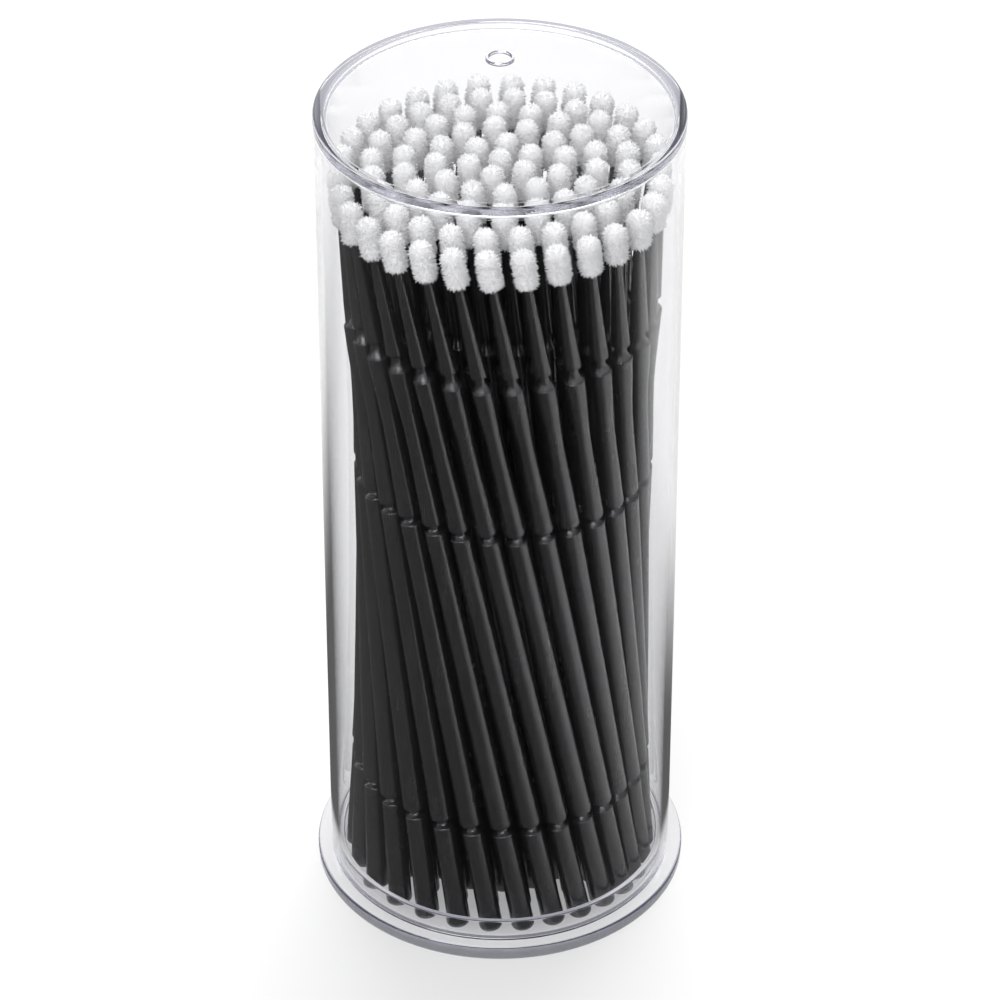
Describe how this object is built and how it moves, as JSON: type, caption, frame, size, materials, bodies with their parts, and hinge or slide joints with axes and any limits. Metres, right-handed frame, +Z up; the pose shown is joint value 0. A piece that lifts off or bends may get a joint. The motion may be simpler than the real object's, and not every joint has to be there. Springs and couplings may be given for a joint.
{
  "type": "tube of micro applicators",
  "caption": "Clear upright tube with a flanged end cap, packed with slim black handled applicators whose flocked white heads point up.",
  "frame": {"origin": "middle of the underside of the end cap, on the surface that the tube stands on", "axes": "+Z up along the tube's axis, -Y towards the viewer of the picture, +X to that viewer's right"},
  "size_m": [0.046, 0.046, 0.1075],
  "materials": {
    "clear_tube": "clear polished polystyrene",
    "clear_cap": "clear polished polystyrene",
    "black_handle": "satin moulded polypropylene",
    "white_flock": "short white nylon flock"
  },
  "bodies": {
    "cap_with_applicators": {"end_cap": "clear_cap", "applicator_handles_1": "black_handle", "applicator_handles_2": "black_handle", "applicator_handles_3": "black_handle", "applicator_handles_4": "black_handle", "applicator_handles_5": "black_handle", "applicator_handles_6": "black_handle", "flocked_heads_1": "white_flock", "flocked_heads_2": "white_flock", "flocked_heads_3": "white_flock", "flocked_heads_4": "white_flock", "flocked_heads_5": "white_flock", "flocked_heads_6": "white_flock"},
    "tube": {"tube": "clear_tube"}
  },
  "joints": [
    {"name": "tube_lift", "type": "slide", "parent": "cap_with_applicators", "child": "tube", "axis": [0, 0, 1], "range_m": [0, 0.11]}
  ]
}
